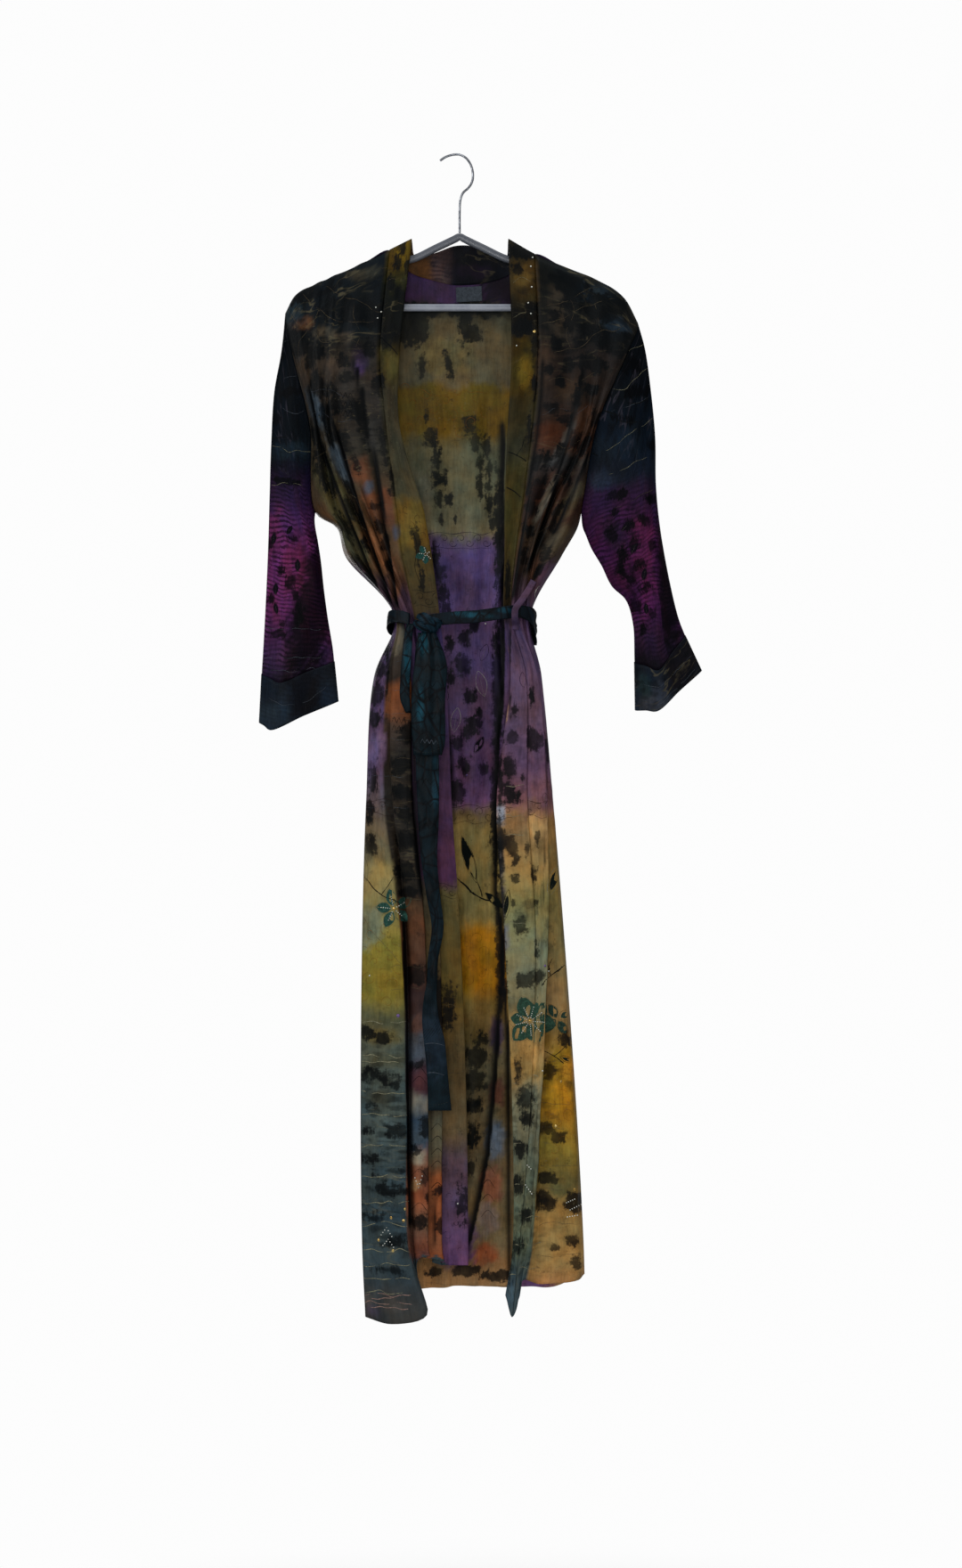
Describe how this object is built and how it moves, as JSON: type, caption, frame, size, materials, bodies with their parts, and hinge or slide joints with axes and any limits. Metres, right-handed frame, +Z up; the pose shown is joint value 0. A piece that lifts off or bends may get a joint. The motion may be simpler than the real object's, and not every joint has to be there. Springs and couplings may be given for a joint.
{
  "type": "kimono on a hanger",
  "caption": "Long open-front kimono robe with three-quarter sleeves, a neckband and a tied waist belt, hanging on a clothes hanger with a wire hook",
  "frame": {"origin": "the inner top of the hanger's hook, where a peg or rail carries it", "axes": "+Z up, -Y the robe's front, +X the wearer's left (the right of a front view)"},
  "size_m": [0.564, 0.0954, 1.4884],
  "materials": {
    "robe_silk": "satin silk, tie-dyed",
    "sleeve_silk": "satin silk, tie-dyed",
    "cuff_silk": "satin silk, tie-dyed",
    "belt_silk": "satin silk",
    "carrier_silk": "satin silk",
    "label_cloth": "woven tape, bare",
    "hanger_plastic": "moulded, satin",
    "hook_steel": "drawn wire, polished"
  },
  "bodies": {
    "root": {"back": "robe_silk", "front_right": "robe_silk", "front_left": "robe_silk", "neckband_right": "robe_silk", "neckband_left": "robe_silk", "neckband_back": "robe_silk", "sleeve_right": "sleeve_silk", "sleeve_left": "sleeve_silk", "cuff_right": "cuff_silk", "cuff_left": "cuff_silk", "belt_waist": "belt_silk", "belt_knot": "belt_silk", "belt_end": "belt_silk", "belt_loop": "belt_silk", "belt_tail": "belt_silk", "carrier_right": "carrier_silk", "carrier_left": "carrier_silk", "neck_label": "label_cloth", "hanger_frame": "hanger_plastic", "hook": "hook_steel"}
  },
  "joints": []
}
